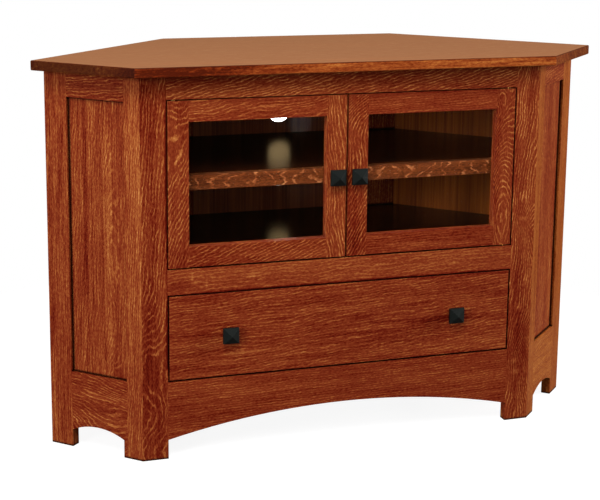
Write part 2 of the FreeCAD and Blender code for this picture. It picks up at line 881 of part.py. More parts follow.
def make_catch():
    """A magnetic catch behind the top rail, and a steel plate on each door's lock stile."""
    plate_face_y = size.door_stock + size.catch_plate_thickness
    hang_z = door_opening_top - size.catch_drop
    step_z = door_opening_top + size.door_gap
    body = new_body("magnetic_catch")
    profile = [
        (size.frame_stock, step_z),
        (plate_face_y + size.catch_air, step_z),
        (plate_face_y + size.catch_air, hang_z),
        (size.frame_stock + size.catch_depth, hang_z),
        (size.frame_stock + size.catch_depth, hang_z + size.catch_height),
        (size.frame_stock, hang_z + size.catch_height),
    ]
    pad(body, "side", profile, -size.catch_width / 2, size.catch_width)
    on_face(body)

    plate = new_body("door_left_catch_plate")
    centre_x = door_inner_x + size.door_frame_width / 2
    low_z = hang_z + size.door_gap
    outline = rectangle(
        -centre_x - size.catch_plate_width / 2,
        -centre_x + size.catch_plate_width / 2,
        low_z,
        low_z + size.catch_plate_height,
    )
    pad(plate, "front", outline, size.door_stock, size.catch_plate_thickness)
    on_face(plate)
    twin("door_right_catch_plate", "door_left_catch_plate")


# Knobs: a square pyramid head on a tapered square neck

def knob_taper(body, front_width, front_reach, back_width, back_reach):
    """A square taper of the knob. A reach is counted forwards from the face it is screwed to."""
    taper = body.newObject("PartDesign::AdditiveWedge", f"{body.Name}_taper")
    places = {
        "Xmin": -front_width / 2,
        "Xmax": front_width / 2,
        "Zmin": -front_width / 2,
        "Zmax": front_width / 2,
        "X2min": -back_width / 2,
        "X2max": back_width / 2,
        "Z2min": -back_width / 2,
        "Z2max": back_width / 2,
        "Ymin": -front_reach,
        "Ymax": -back_reach,
    }
    for path, place in places.items():
        bind(taper, path, place)
    body.Tip = taper


def make_knob(label, x, z):
    body = new_body(label)
    head_back = size.knob_neck_length
    head_front = size.knob_neck_length + size.knob_edge
    peak = head_front + size.knob_peak
    knob_taper(body, size.knob_neck_width, head_back, size.knob_foot_width, as_size(0))
    half = size.knob_width / 2
    pad(body, "front", rectangle(-half, half, -half, half), -head_front, size.knob_edge)
    knob_taper(body, size.knob_tip_width, peak, size.knob_width, head_front)
    bind(body, "Placement.Base.x", x)
    bind(body, "Placement.Base.y", face_y)
    bind(body, "Placement.Base.z", z)
    twin(label.replace("left", "right"), label)


# Drawer: a front board on a box whose corners are through dovetails

drawer_face_x = half_opening - size.drawer_gap
drawer_face_low = cabinet_floor_top + size.drawer_gap
drawer_face_high = drawer_opening_top - size.drawer_gap
box_outer_x = half_opening - size.slide_space
box_inner_x = box_outer_x - size.drawer_box_stock
box_low_z = cabinet_floor_top + size.drawer_box_lift
box_high_z = box_low_z + size.drawer_box_height
slide_end_y = rear_inner_start - half_opening - size.slide_cleat_stock - size.slide_corner_air
box_front_y = size.frame_stock
box_back_y = slide_end_y - size.drawer_box_shortfall
tail_pitch = size.drawer_box_height / TAIL_COUNT
tail_root = tail_pitch * TAIL_WIDTH_SHARE / 2
tail_tip = tail_root + size.drawer_box_stock * TAIL_SLOPE_SHARE
bottom_low_z = box_low_z + (tail_pitch - size.panel_stock) / 2
bottom_high_z = bottom_low_z + size.panel_stock


def tail_centres():
    return [box_low_z + tail_pitch / 2 + tail_pitch * number for number in range(TAIL_COUNT)]


def make_drawer_side():
    """The side board: at each end its tails flare towards the end grain."""
    front_root = box_front_y + size.drawer_box_stock
    back_root = box_back_y - size.drawer_box_stock
    outline = [(front_root, box_low_z), (back_root, box_low_z)]
    for centre in tail_centres():
        outline += [
            (back_root, centre - tail_root),
            (box_back_y, centre - tail_tip),
            (box_back_y, centre + tail_tip),
            (back_root, centre + tail_root),
        ]
    outline += [(back_root, box_high_z), (front_root, box_high_z)]
    for centre in reversed(tail_centres()):
        outline += [
            (front_root, centre + tail_root),
            (box_front_y, centre + tail_tip),
            (box_front_y, centre - tail_tip),
            (front_root, centre - tail_root),
        ]
    body = new_body("drawer_side_left")
    pad(body, "side", outline, -box_outer_x, size.drawer_box_stock)
    box_feature(
        body,
        "SubtractiveBox",
        (-box_inner_x - size.groove_depth, front_root - size.groove_depth, bottom_low_z),
        (-box_inner_x, back_root + size.groove_depth, bottom_high_z),
    )
    on_face(body)
    twin("drawer_side_right", "drawer_side_left")


def make_drawer_end(label, outer_y, inner_y):
    """The front or back board of the box: its pins fill the spaces between the tails."""
    low_y, high_y = (outer_y, inner_y) if outer_y.number < inner_y.number else (inner_y, outer_y)
    body = new_body(label)
    pad(body, "front", rectangle(-box_inner_x, box_inner_x, box_low_z, box_high_z), low_y,
        size.drawer_box_stock)
    centres = tail_centres()
    root_levels = [box_low_z]
    tip_levels = [box_low_z]
    for centre in centres:
        root_levels += [centre - tail_root, centre + tail_root]
        tip_levels += [centre - tail_tip, centre + tail_tip]
    root_levels.append(box_high_z)
    tip_levels.append(box_high_z)
    for start_x in (-box_outer_x, box_inner_x):
        sketch = new_sketch(body, "side", start_x)
        for number in range(0, len(root_levels), 2):
            draw_outline(sketch, [
                (outer_y, tip_levels[number]),
                (inner_y, root_levels[number]),
                (inner_y, root_levels[number + 1]),
                (outer_y, tip_levels[number + 1]),
            ])
        finish_extrusion(body, "Pad", sketch, "side", size.drawer_box_stock)
    groove = size.groove_depth
    groove_low_y, groove_high_y = (high_y - groove, high_y)
    if outer_y.number > inner_y.number:
        groove_low_y, groove_high_y = (low_y, low_y + groove)
    box_feature(body, "SubtractiveBox", (-box_inner_x, groove_low_y, bottom_low_z),
                (box_inner_x, groove_high_y, bottom_high_z))
    on_face(body)


def make_drawer():
    front = new_body("drawer_front")
    outline = rectangle(-drawer_face_x, drawer_face_x, drawer_face_low, drawer_face_high)
    pad(front, "front", outline, 0, size.frame_stock)
    soften(front, "Fillet", size.drawer_rounding, [{"y": as_size(0)}])
    on_face(front)

    make_drawer_side()
    front_root = box_front_y + size.drawer_box_stock
    back_root = box_back_y - size.drawer_box_stock
    make_drawer_end("drawer_box_front", box_front_y, front_root)
    make_drawer_end("drawer_back", box_back_y, back_root)

    bottom = new_body("drawer_bottom")
    hidden_edge = size.groove_depth - size.panel_clearance
    outline = rectangle(-box_inner_x - hidden_edge, box_inner_x + hidden_edge,
                        front_root - hidden_edge, back_root + hidden_edge)
    pad(bottom, "plan", outline, bottom_low_z, size.panel_stock)
    on_face(bottom)


# Drawer slides: three steel channels that run in each other, screwed to a wooden cleat

slide_middle_z = (box_low_z + box_high_z) / 2


def channel(name, web_x, open_x, half_height):
    """A channel along Y with its web at web_x and its flanges reaching to open_x."""
    metal = size.slide_metal
    if web_x.number < open_x.number:
        web_inner_x = web_x + metal
    else:
        web_inner_x = web_x - metal
    profile = [
        (open_x, slide_middle_z - half_height),
        (web_x, slide_middle_z - half_height),
        (web_x, slide_middle_z + half_height),
        (open_x, slide_middle_z + half_height),
        (open_x, slide_middle_z + half_height - metal),
        (web_inner_x, slide_middle_z + half_height - metal),
        (web_inner_x, slide_middle_z - half_height + metal),
        (open_x, slide_middle_z - half_height + metal),
    ]
    body = doc.addObject("PartDesign::Body", name)
    pad(body, "front", profile, size.frame_stock, slide_end_y - size.frame_stock)
    on_face(body)
    return body


def make_slides():
    cleat = new_body("slide_cleat_left")
    outline = rectangle(-half_opening - size.slide_cleat_stock, -half_opening, cabinet_floor_top,
                        cabinet_floor_top + size.slide_cleat_height)
    pad(cleat, "front", outline, size.frame_stock, slide_end_y - size.frame_stock)
    on_face(cleat)
    twin("slide_cleat_right", "slide_cleat_left")

    metal = size.slide_metal
    air = size.slide_air
    flange_reach = size.slide_space - metal - air
    outer_half = size.slide_height / 2
    middle_half = outer_half - metal - air
    inner_half = middle_half - metal - air
    cabinet_web_x = -half_opening
    middle_web_x = cabinet_web_x + metal + air
    channels = {
        "slide_cabinet_members": (cabinet_web_x, cabinet_web_x + flange_reach - air, outer_half),
        "slide_middle_members": (middle_web_x, cabinet_web_x + flange_reach, middle_half),
        "slide_drawer_members": (-box_outer_x, middle_web_x + metal + air, inner_half),
    }
    for label, (web_x, open_x, half_height) in channels.items():
        left = channel(f"{label}_channel", web_x, open_x, half_height)
        group(label, [left, mirror_of(left)])


make_top_slab()
make_face_stile()
for rail_label in FACE_RAIL_SPANS:
    make_face_rail(rail_label)
make_side_stiles()
make_side_rails()
make_side_panel()
make_back()
make_boards()
make_door_stiles()
make_door_rails()
make_door_glass()
make_hinge_leaves()
make_catch()
make_knob("door_left_knob", -door_inner_x - size.door_frame_width / 2, (door_bottom + door_top) / 2)
make_knob("drawer_knob_left", -size.drawer_knob_spacing / 2, (drawer_face_low + drawer_face_high) / 2)
make_drawer()
make_slides()
doc.recompute()

# Checks: nothing has failed, every cut removes material and every addition adds some

REMOVERS = ("Pocket", "SubtractiveBox", "Chamfer", "Fillet")
ADDERS = ("Pad", "AdditiveBox", "AdditiveWedge")

problems = []
for item in doc.Objects:
    if "Invalid" in item.State or "Error" in item.State:
        problems.append(f"{item.Name} is {item.State}")
    kind = item.TypeId.rpartition("::")[2]
    before = getattr(item, "BaseFeature", None)
    if kind in REMOVERS + ADDERS and before and not (item.Shape.isNull() or before.Shape.isNull()):
        change = item.Shape.Volume - before.Shape.Volume
        if kind in REMOVERS and change >= 0:
            problems.append(f"{item.Name} cuts nothing")
        if kind in ADDERS and change <= 0:
            problems.append(f"{item.Name} adds nothing")
for label, item in pieces.items():
    if item.Shape.isNull() or not item.Shape.isValid() or item.Shape.Volume <= 0:
        problems.append(f"{label} has no valid shape")
if problems:
    raise RuntimeError("; ".join(problems))

os.makedirs("parts", exist_ok=True)
for label, item in pieces.items():
    item.Shape.exportStep(f"parts/{label}.step")
print(f"{len(pieces)} pieces written")
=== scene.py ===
# %% [markdown]
# # A corner cabinet in stained quartersawn oak
#
# The cabinet's shape is finished: every board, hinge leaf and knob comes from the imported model.
# What is left is how it looks, so this lesson adds a camera, a plain studio and one finish after
# another. Loading the model first keeps everything in one frame, in metres, with +X to the right,
# +Y to the back and +Z up.

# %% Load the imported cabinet
import math

import bmesh
import bpy
from mathutils import Matrix, Vector


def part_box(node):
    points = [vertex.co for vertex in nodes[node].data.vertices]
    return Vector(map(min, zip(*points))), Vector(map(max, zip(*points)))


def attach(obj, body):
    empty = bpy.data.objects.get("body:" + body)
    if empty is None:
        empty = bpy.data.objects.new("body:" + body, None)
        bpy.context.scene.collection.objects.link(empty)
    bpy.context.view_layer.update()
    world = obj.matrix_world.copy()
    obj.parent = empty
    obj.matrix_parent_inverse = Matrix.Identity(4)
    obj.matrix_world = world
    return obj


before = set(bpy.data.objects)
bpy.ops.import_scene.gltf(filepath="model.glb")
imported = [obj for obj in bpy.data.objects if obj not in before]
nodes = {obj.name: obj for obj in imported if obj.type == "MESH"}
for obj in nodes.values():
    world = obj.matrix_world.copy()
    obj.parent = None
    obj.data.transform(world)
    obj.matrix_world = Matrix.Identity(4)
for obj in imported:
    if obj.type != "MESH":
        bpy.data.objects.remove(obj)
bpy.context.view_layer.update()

# %% [markdown]
# The picture was taken from the left, a little above the top, with a lens that keeps the corners
# nearly upright. A camera can be aimed by eye or worked out from the corners of the top and the
# feet. It was worked out here, and a small lens shift does what lowering the front of a view
# camera does: it lowers the frame without tipping the camera further.

# %% Place the camera
CAMERA_PLACE = (-0.9364, -2.7634, 1.0864)
YAW, PITCH, ROLL = 18.201, 11.051, 0.591    # degrees: to the right, down, anticlockwise
LENS, SHIFT = 86.26, -0.14                  # mm for a 36 mm sensor, and a share of the picture's width

camera = bpy.data.objects.new("camera", bpy.data.cameras.new("camera"))
bpy.context.scene.collection.objects.link(camera)
camera.matrix_world = (Matrix.Translation(CAMERA_PLACE)
                       @ Matrix.Rotation(math.radians(-YAW), 4, "Z")
                       @ Matrix.Rotation(math.radians(90 - PITCH), 4, "X")
                       @ Matrix.Rotation(math.radians(ROLL), 4, "Z"))
camera.data.sensor_width = 36.0
camera.data.lens = LENS
camera.data.shift_y = SHIFT
bpy.context.scene.camera = camera
bpy.context.scene.view_settings.view_transform = "Standard"
print("camera with", LENS, "mm,", round(Vector(CAMERA_PLACE).length, 2), "m from the cabinet's foot")

# %% [markdown]
# Two helpers serve every finish. Colours are easiest to pick as sRGB hex values, but shaders work
# in linear light, so one function turns one into the other. Node trees repeat the same three
# steps (add, set, link), so one function does all three. A Mix node has sockets of the same name
# for numbers and for colours, which only their place in the list tells apart, so the places get
# names here.

# %% Helpers for colours and nodes
FACTOR, NUMBER_A, NUMBER_B, COLOUR_A, COLOUR_B = 0, 2, 3, 6, 7    # inputs of a Mix node
MIXED_COLOUR = 2                                                  # and its output for colours


def colour(code):
    """Turns an sRGB hex colour such as "#8a3b1c" into the linear colour that shaders use."""
    parts = [int(code[i:i + 2], 16) / 255 for i in (1, 3, 5)]
    return tuple(p / 12.92 if p <= 0.04045 else ((p + 0.055) / 1.055) ** 2.4 for p in parts) + (1.0,)


def add_node(tree, kind, settings=None, links=None):
    """Adds one node, sets its inputs or properties, and links sockets into its inputs."""
    node = tree.nodes.new("ShaderNode" + kind)
    for name, value in (settings or {}).items():
        if isinstance(name, int) or name in node.inputs:
            node.inputs[name].default_value = value
        else:
            setattr(node, name, value)
    for name, socket in (links or {}).items():
        tree.links.new(socket, node.inputs[name])
    return node


def new_material(name):
    """Makes an empty material with its output node, and returns it with its tree and output."""
    material = bpy.data.materials.new(name)
    material.use_nodes = True
    material.node_tree.nodes.clear()
    output = add_node(material.node_tree, "OutputMaterial")
    return material, material.node_tree, output


def dress(node, material):
    """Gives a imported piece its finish."""
    slots = nodes[node].data.materials
    slots.clear()
    slots.append(material)


print("burnt orange in linear light:", [round(v, 3) for v in colour("#b8642c")[:3]])

# %% [markdown]
# The studio has a pale floor, a white backdrop behind the cabinet and soft light from all sides.
# The floor could be lit until it turns white, but that would burn the cabinet too. Instead the
# Light Path node shows it white to the camera and through glass, while it lights the wood at a
# plain level. A part of its white is real reflected light, so the cabinet's soft shadow stays on
# it, and the rest glows by itself.

# %% Pale floor
FLOOR_RADIUS = 1.15    # m
FLOOR_GLOW = 0.9       # the share of its white that needs no light
SEEN_DIRECTLY = ("Is Camera Ray", "Is Transmission Ray")


def seen_directly(tree):
    """Returns a socket that is 1 for rays straight from the camera or through glass, and 0 for all others."""
    path = add_node(tree, "LightPath")
    both = add_node(tree, "Math", {"operation": "MAXIMUM"},
                    {i: path.outputs[name] for i, name in enumerate(SEEN_DIRECTLY)})
    straight = add_node(tree, "Math", {"operation": "SUBTRACT", "use_clamp": True},
                        {0: both.outputs[0], 1: path.outputs["Glossy Depth"]})
    return straight.outputs[0]


disc = bmesh.new()
bmesh.ops.create_circle(disc, cap_ends=True, segments=96, radius=FLOOR_RADIUS)
floor_mesh = bpy.data.meshes.new("studio_floor")
disc.to_mesh(floor_mesh)
disc.free()
floor = bpy.data.objects.new("studio_floor", floor_mesh)
bpy.context.scene.collection.objects.link(floor)
paper, tree, output = new_material("pale_paper_floor")
lit = add_node(tree, "BsdfDiffuse", {"Color": colour("#7c7c7c")})
glow = add_node(tree, "Emission", {"Color": (1, 1, 1, 1), "Strength": FLOOR_GLOW})
both = add_node(tree, "AddShader", links={0: lit.outputs[0], 1: glow.outputs[0]})
paper_look = add_node(tree, "MixShader",
                      links={0: seen_directly(tree), 1: lit.outputs[0], 2: both.outputs[0]})
tree.links.new(paper_look.outputs[0], output.inputs["Surface"])
floor_mesh.materials.append(paper)
print("floor", 2 * FLOOR_RADIUS, "m across")

# %% [markdown]
# The surround is white to the camera and through glass too, and a plain level of light to the
# wood. Gloss sees the white backdrop where it hangs, behind the cabinet, and a dim room everywhere
# else, which is why the doors' glass stays dark. Lacquer yellows with age, so whatever is mirrored
# gets a warm tone. A ray that is mirrored first and then goes through glass counts as mirrored.
# One that comes straight through the glass is flagged as glossy as well, so it is taken off again.

# %% White surround
ROOM_LIGHT = 0.22                  # what lights the wood from every side
DIM_ROOM = 0.012                   # what gloss sees beside and in front of the cabinet
BACKDROP_GLOSS = 0.75              # what gloss sees straight behind it
BACKDROP_EDGES = (0.45, 0.9)       # where the backdrop starts and is full, as a direction's part to the back
YELLOWED_LACQUER = "#ffd598"

world = bpy.data.worlds.new("white_surround")
bpy.context.scene.world = world
world.use_nodes = True
world.node_tree.nodes.clear()
tree = world.node_tree
aim = add_node(tree, "SeparateXYZ", links={0: add_node(tree, "TexCoord").outputs["Generated"]})
behind = add_node(tree, "MapRange",
                  {"From Min": BACKDROP_EDGES[0], "From Max": BACKDROP_EDGES[1],
                   "To Min": DIM_ROOM, "To Max": BACKDROP_GLOSS},
                  {"Value": aim.outputs["Y"]})
path = add_node(tree, "LightPath")
through_glass = add_node(tree, "Math", {"operation": "MULTIPLY", "use_clamp": True},
                         {0: path.outputs["Glossy Depth"], 1: path.outputs["Is Transmission Ray"]})
mirrored = add_node(tree, "Math", {"operation": "MAXIMUM"},
                    {0: path.outputs["Is Glossy Ray"], 1: through_glass.outputs[0]})
unseen = add_node(tree, "Mix", {NUMBER_A: ROOM_LIGHT},
                  {FACTOR: mirrored.outputs[0], NUMBER_B: behind.outputs[0]})
seen = seen_directly(tree)
strength = add_node(tree, "Mix", {NUMBER_B: 1.0}, {FACTOR: seen, NUMBER_A: unseen.outputs[0]})
warm = add_node(tree, "Math", {"operation": "SUBTRACT", "use_clamp": True},
                {0: mirrored.outputs[0], 1: seen})
tone = add_node(tree, "Mix",
                {"data_type": "RGBA", COLOUR_A: colour("#ffffff"), COLOUR_B: colour(YELLOWED_LACQUER)},
                {FACTOR: warm.outputs[0]})
surround = add_node(tree, "Background",
                    links={"Color": tone.outputs[MIXED_COLOUR], "Strength": strength.outputs[0]})
add_node(tree, "OutputWorld", links={"Surface": surround.outputs[0]})
print("room light", ROOM_LIGHT, "and a backdrop of", BACKDROP_GLOSS, "in the gloss")

# %% [markdown]
# A white surround alone looks flat. Four soft boxes give it a direction, as in a furniture
# studio: a large one overhead, one on the left that reaches through the glass to the right-hand
# wall inside, one on the right that lifts the slanted side, and one behind for the back. The last
# stays lower than the top, whose satin finish would mirror it. Together with the room they add up
# to about the light at which a colour renders as it is written.

# %% Four soft boxes
AIMED_AT = Vector((0, 0, 0.4))    # the middle of the cabinet


def soft_box(name, place, size, power):
    """Adds a square area lamp, size metres wide, that faces the middle of the cabinet."""
    lamp = bpy.data.lights.new(name, "AREA")
    lamp.size = size
    lamp.energy = power
    holder = bpy.data.objects.new(name, lamp)
    holder.location = place
    aim = AIMED_AT - Vector(place)
    holder.rotation_euler = aim.to_track_quat("-Z", "Y").to_euler()
    bpy.context.scene.collection.objects.link(holder)
    print(name, "at", place, "with", power, "W")


soft_box("overhead_soft_box", (-1.0, -2.1, 3.0), 1.4, 73)
soft_box("left_soft_box", (-3.3, -2.3, 1.5), 1.0, 70)
soft_box("right_soft_box", (3.4, -0.9, 1.6), 1.4, 105)
soft_box("back_soft_box", (0.5, 2.9, 0.37), 0.7, 60)

# %% [markdown]
# The outside is white oak, sawn on the quarter, so that the medullary rays show as bright ribbons
# across the grain. The boards were stained red-brown, which sinks into the open pores and leaves
# the hard rays orange, and finished with a satin lacquer. A flat colour with noise would look
# like plastic. Real boards are cut from different places in the log, so each one gets its own
# grain direction, fleck angle and tone.
#
# The pattern needs to know where a point lies in its board: along the grain, across it and
# through the thickness. Object coordinates are already in metres in the cabinet's frame, so three
# dot products with the board's own directions, each made a thousand long, give millimetres.

# %% Directions of the boards
UP = Vector((0, 0, 1))
RIGHT = Vector((1, 0, 0))
BACK = Vector((0, 1, 0))
LEFT_SIDE = Vector((1, -1, 0)).normalized()    # along the left slanted side, towards the front
RIGHT_SIDE = Vector((1, 1, 0)).normalized()    # along the right slanted side, towards the back


def board_place(tree, along, across):
    """Returns a vector socket: the distance along, across and through a board, in millimetres."""
    here = add_node(tree, "TexCoord").outputs["Object"]
    dots = [add_node(tree, "VectorMath", {"operation": "DOT_PRODUCT", 1: axis * 1000}, {0: here})
            for axis in (along, across, along.cross(across))]
    joined = add_node(tree, "CombineXYZ", links={i: dot.outputs["Value"] for i, dot in enumerate(dots)})
    return joined.outputs[0]


print("left side runs along", [round(v, 3) for v in LEFT_SIDE])

# %% [markdown]
# Several patterns lie on top of each other. Growth lines run with the grain, 2 to 3 mm apart, and
# the pores are dashes under 1 mm wide. A pixel covers nearly 2 mm here, so both are drawn coarser:
# the lines 4 mm apart and the pores 1.9 mm wide. Noise that is stretched along the grain does for
# both, and for the slow change of tone from one part of a board to the next. An oval spot, for a
# darker or lighter place, needs only the distance from its middle.

# %% Noise along a board
def stretched_noise(tree, place, along_mm, across_mm, detail, shift):
    """Noise with features of along_mm by across_mm, from about 0 to 1."""
    scale = (1 / along_mm, 1 / across_mm, 1 / across_mm)
    point = add_node(tree, "VectorMath", {"operation": "MULTIPLY_ADD", 1: scale, 2: (shift, shift, shift)},
                     {0: place})
    return add_node(tree, "TexNoise", {"Scale": 1.0, "Detail": detail, "Roughness": 0.55},
                    {"Vector": point.outputs[0]}).outputs["Fac"]


def spot(tree, place, along_mm, across_mm, half_along, half_across, peak):
    """An oval spot: peak in its middle, and 0 outside its half lengths in millimetres."""
    scale = (1 / half_along, 1 / half_across, 0.0)
    start = (-along_mm / half_along, -across_mm / half_across, 0.0)
    away = add_node(tree, "VectorMath", {"operation": "MULTIPLY_ADD", 1: scale, 2: start}, {0: place})
    far = add_node(tree, "VectorMath", {"operation": "LENGTH"}, {0: away.outputs[0]})
    return add_node(tree, "MapRange", {"To Min": peak, "To Max": 0.0, "interpolation_type": "SMOOTHSTEP"},
                    {"Value": far.outputs["Value"]}).outputs[0]


print("grain runs along UP, RIGHT, BACK or a slanted side, so noise is stretched that way")

# %% [markdown]
# Ray flecks are thin bright ridges. Each could be drawn as a curve, but a board has hundreds.
# Here they are the crests of a wave across the grain whose phase is bent by noise, so that they
# wander and fork. Where the saw met a bend in the tree they close into loops, or whorls, which a
# bump in the phase makes.

# %% Ray flecks
CREST, NARROW_CREST = 0.2, 0.6    # how high the wave, which ends at 1, has to be before a ray shows
# Wrinkles in the rays: length and width in mm, detail, how many spacings they shift a ray, start.
WRINKLES = (22, 10, 3.0, 1.5, 7.7)


def ray_flecks(tree, place, tilt, spacing, swirl, thin, whorls, shift):
    """Bright crests, spacing mm apart and tilt degrees off the grain, that wander by swirl."""
    angle = math.radians(tilt)
    slope = Vector((-math.sin(angle), math.cos(angle), 0.7)) / spacing
    phase = add_node(tree, "VectorMath", {"operation": "DOT_PRODUCT", 1: slope}, {0: place}).outputs["Value"]
    for long, wide, detail, weight, start in ((110, 42, 1.0, swirl, 3.1), WRINKLES):
        bend = stretched_noise(tree, place, long, wide, detail, shift + start)
        bent = add_node(tree, "Math", {"operation": "MULTIPLY_ADD", 1: weight}, {0: bend, 2: phase})
        phase = bent.outputs[0]
    for whorl in whorls:
        turned = add_node(tree, "Math", {"operation": "ADD"}, {0: spot(tree, place, *whorl), 1: phase})
        phase = turned.outputs[0]
    turn = add_node(tree, "Math", {"operation": "MULTIPLY", 1: 2 * math.pi}, {0: phase})
    wave = add_node(tree, "Math", {"operation": "SINE"}, {0: turn.outputs[0]})
    crest = add_node(tree, "MapRange",
                     {"From Min": thin, "From Max": 1.0, "interpolation_type": "SMOOTHSTEP"},
                     {"Value": wave.outputs[0]})
    breaks = stretched_noise(tree, place, 26, 12, 3.0, shift + 11.3)
    kept = add_node(tree, "MapRange", {"From Min": 0.3, "From Max": 0.6}, {"Value": breaks})
    rays = add_node(tree, "Math", {"operation": "MULTIPLY"}, {0: crest.outputs[0], 1: kept.outputs[0]})
    return rays.outputs[0]


print("a crest fills about", round(100 * math.acos(CREST) / math.pi), "% of its spacing")

# %% [markdown]
# A colour ramp carries the stain: nearly black-red in the pores, red-brown in the ground and
# orange on the rays. The top and three boards on the right took it more orange, and the shelf's
# front edge browner. Gaps and corners, where shade falls, are painted nearly black as painted
# shade. The Ambient Occlusion node finds such places, since it tells how much of the room a point can see.

# %% Stain
STAIN = ((0.0, "#440802"), (0.22, "#661506"), (0.5, "#8b391b"), (0.78, "#b06430"), (1.0, "#d89050"))
ORANGE_STAIN = ((0.0, "#4a1404"), (0.22, "#6e260a"), (0.5, "#96481c"), (0.78, "#b86e30"), (1.0, "#d8944e"))
BROWN_STAIN = ((0.0, "#321004"), (0.22, "#52220c"), (0.5, "#763818"), (0.78, "#a8623a"), (1.0, "#cc8a5c"))
# Painted shade: corners and gaps are darkened towards this near-black colour.
PAINTED_CREVICE_SHADE = "#1a0502"
PAINTED_SHADE_REACH = 0.005    # m: how far from a corner the painted shade reaches


def stain_ramp(tree, socket, stain):
    """Turns 0 to 1 into the stain's colours, from the pores to the rays."""
    ramp = add_node(tree, "ValToRGB", links={"Fac": socket})
    stops = ramp.color_ramp.elements
    stops[0].position, stops[1].position = stain[0][0], stain[-1][0]
    stops[0].color, stops[1].color = colour(stain[0][1]), colour(stain[-1][1])
    for position, code in stain[1:-1]:
        stops.new(position).color = colour(code)
    return ramp.outputs["Color"]


def painted_crevice_shade(tree):
    """Returns a socket that falls from 1 towards 0 in the corners and gaps, where painted shade goes."""
    near = add_node(tree, "AmbientOcclusion", {"samples": 6, "Distance": PAINTED_SHADE_REACH})
    return add_node(tree, "MapRange", {"From Min": 0.78, "From Max": 1.0, "To Min": 0.06},
                    {"Value": near.outputs["AO"]}).outputs[0]


print("stain in", len(STAIN), "steps")

# %% [markdown]
# The oak puts the patterns together. Lacquer over open grain is satin, so the roughness is about
# 0.45, a little lower on the hard rays, and a shallow bump follows the pores. The lacquer is thin,
# and the studio's white would fog it, so its gloss is kept low. The doors get none of the painted
# shade in corners, so their edges stay light beside the dark gaps.
#
# Noise is 0.5 on average and the rays are about 0.2. That much of each pattern is taken off again,
# so that a stronger pattern doesn't make a board lighter.

# %% Stained quartersawn oak
GROUND = 0.46                        # where plain wood lies on the stain's ramp
GROWTH, PORES, SLOW = 1.4, 0.8, 0.4  # how strongly each noise moves it
SEED_STEP = 13.7                     # how far apart two boards lie in the noise


def quartersawn_oak(name, along, across, seed, tilt, spacing, swirl, fleck, tone, lines,
                    thin, stain, paint_crevice_shade, whorls, tone_and_gap_shade):
    """Stained quartersawn oak under satin lacquer: one board's own figure and tone."""
    material, tree, output = new_material(name)
    place = board_place(tree, along, across)
    shift = seed * SEED_STEP
    rays = ray_flecks(tree, place, tilt, spacing, swirl, thin, whorls, shift)
    pores = stretched_noise(tree, place, 6, 1.9, 2.0, shift + 5.0)
    layers = [
        (stretched_noise(tree, place, 90, 4.0, 3.0, shift), lines * GROWTH),
        (pores, PORES),
        (stretched_noise(tree, place, 260, 24, 1.0, shift + 9.0), SLOW),
        (rays, fleck),
    ]
    layers += [(spot(tree, place, *patch), 1.0) for patch in tone_and_gap_shade]
    start = GROUND + tone - 0.5 * (lines * GROWTH + PORES + SLOW) - 0.2 * fleck
    total = add_node(tree, "Math", {"operation": "ADD", 0: start, 1: 0.0})
    for socket, weight in layers:
        total = add_node(tree, "Math", {"operation": "MULTIPLY_ADD", 1: weight},
                         {0: socket, 2: total.outputs[0]})
    rough = add_node(tree, "MapRange", {"To Min": 0.5, "To Max": 0.4}, {"Value": rays})
    bump = add_node(tree, "Bump", {"Strength": 0.2, "Distance": 0.0003}, {"Height": pores})
    tint = stain_ramp(tree, total.outputs[0], stain)
    # Painted shade: ambient occlusion darkens corners and gaps, on every board but the doors.
    if paint_crevice_shade:
        dark = add_node(tree, "Mix", {"data_type": "RGBA", COLOUR_A: colour(PAINTED_CREVICE_SHADE)},
                        {FACTOR: painted_crevice_shade(tree), COLOUR_B: tint})
        tint = dark.outputs[MIXED_COLOUR]
    wood = add_node(tree, "BsdfPrincipled", {"IOR": 1.5, "Specular IOR Level": 0.05},
                    {"Base Color": tint, "Roughness": rough.outputs[0], "Normal": bump.outputs[0]})
    tree.links.new(wood.outputs[0], output.inputs["Surface"])
    return material


print("plain wood lies at", GROUND, "on the stain's ramp")

# %% [markdown]
# No two boards look alike, so each gets a row of its own: which way its grain runs, how its rays
# lean, how strong they are and how dark the board is. Whorls, places where the stain took more or
# less, and strips of painted shade beside the gaps are listed by piece. All places are in
# millimetres along and across the board.

# %% One row for each oak board
# Whorls in the rays, by piece: where along and across the board, half its size in mm, and turns.
WHORLS = {
    "face_stile_left": ((190, -425, 170, 85, 9), (20, -425, 80, 85, 5)),
    "face_stile_right": ((400, 396, 70, 42, 5), (120, 410, 110, 60, 6)),
    "door_left_hinge_stile": ((655, -372, 120, 60, 7),),
    "door_right_hinge_stile": ((430, 322, 330, 90, 26), (686, 318, 44, 28, 5)),
    "door_right_lock_stile": ((640, 22, 110, 200, 8),),
    "side_panel_left": ((130, -216, 110, 34, 4), (430, -216, 190, 30, 5)),
    "side_bottom_rail_left": ((-235, 0, 120, 110, 9),),
}
